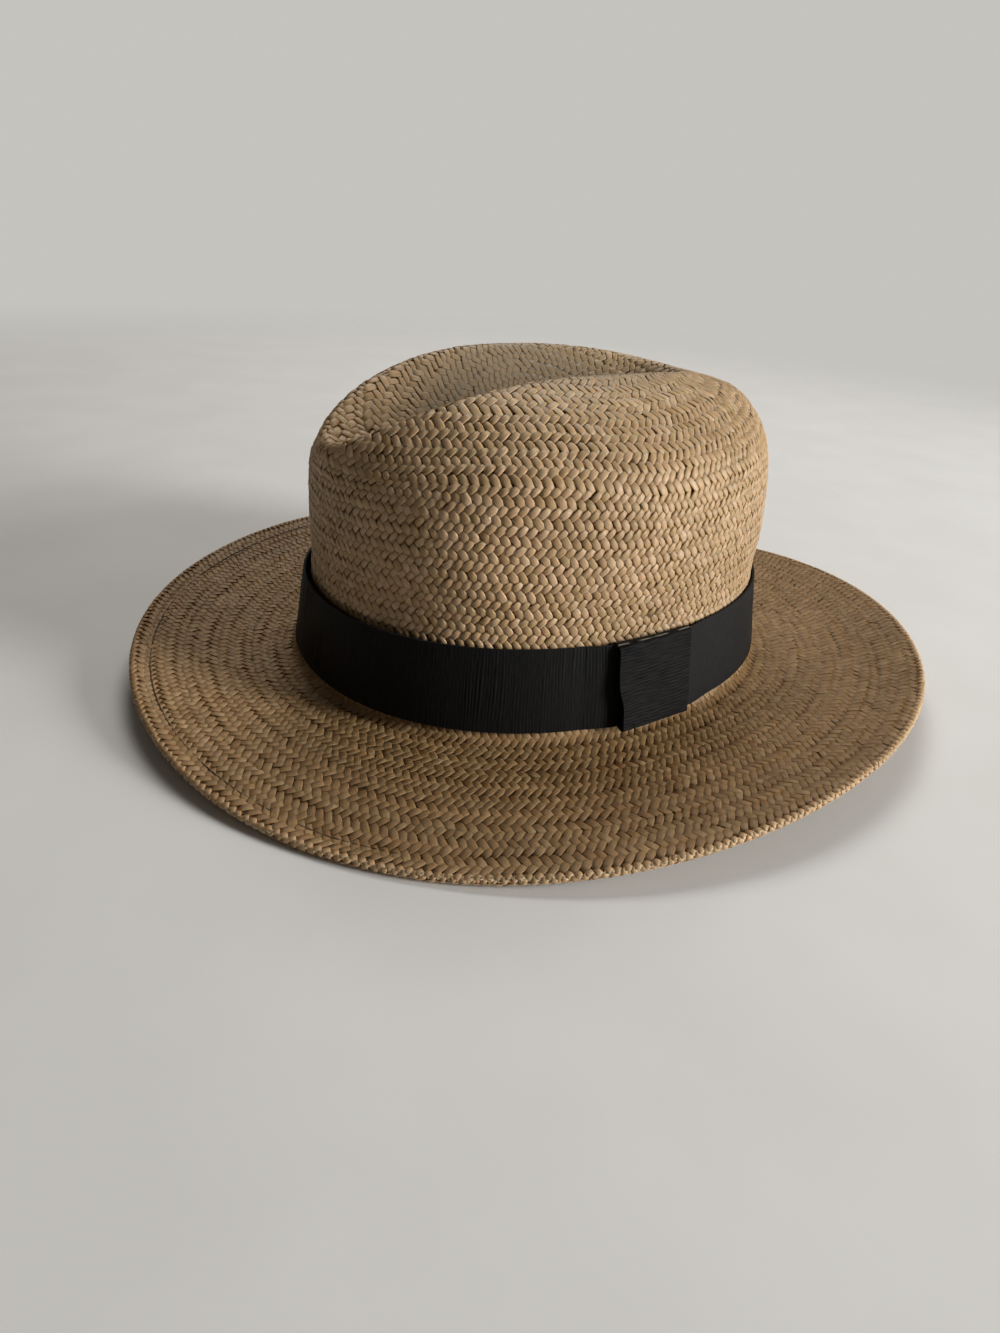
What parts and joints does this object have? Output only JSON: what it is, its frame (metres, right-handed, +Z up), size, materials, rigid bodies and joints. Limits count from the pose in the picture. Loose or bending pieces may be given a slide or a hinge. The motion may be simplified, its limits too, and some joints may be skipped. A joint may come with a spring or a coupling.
{
  "type": "straw fedora hat",
  "caption": "Woven straw fedora with a dented crown, a gently twisted wide brim with a turned hem, and a dark ribbed ribbon band with a wrapped keeper on the wearer's left.",
  "frame": {"origin": "on the table, under the middle of the brim's outline", "axes": "+Z up, +Y towards the back of the hat, +X towards the wearer's left, where the keeper is"},
  "size_m": [0.306, 0.34, 0.1209],
  "materials": {
    "straw": "woven straw, satin strands in a herringbone of concentric rows",
    "ribbon": "ribbed ribbon, soft sheen"
  },
  "bodies": {
    "root": {"straw_body": "straw", "hat_band": "ribbon", "band_keeper": "ribbon"}
  },
  "joints": []
}
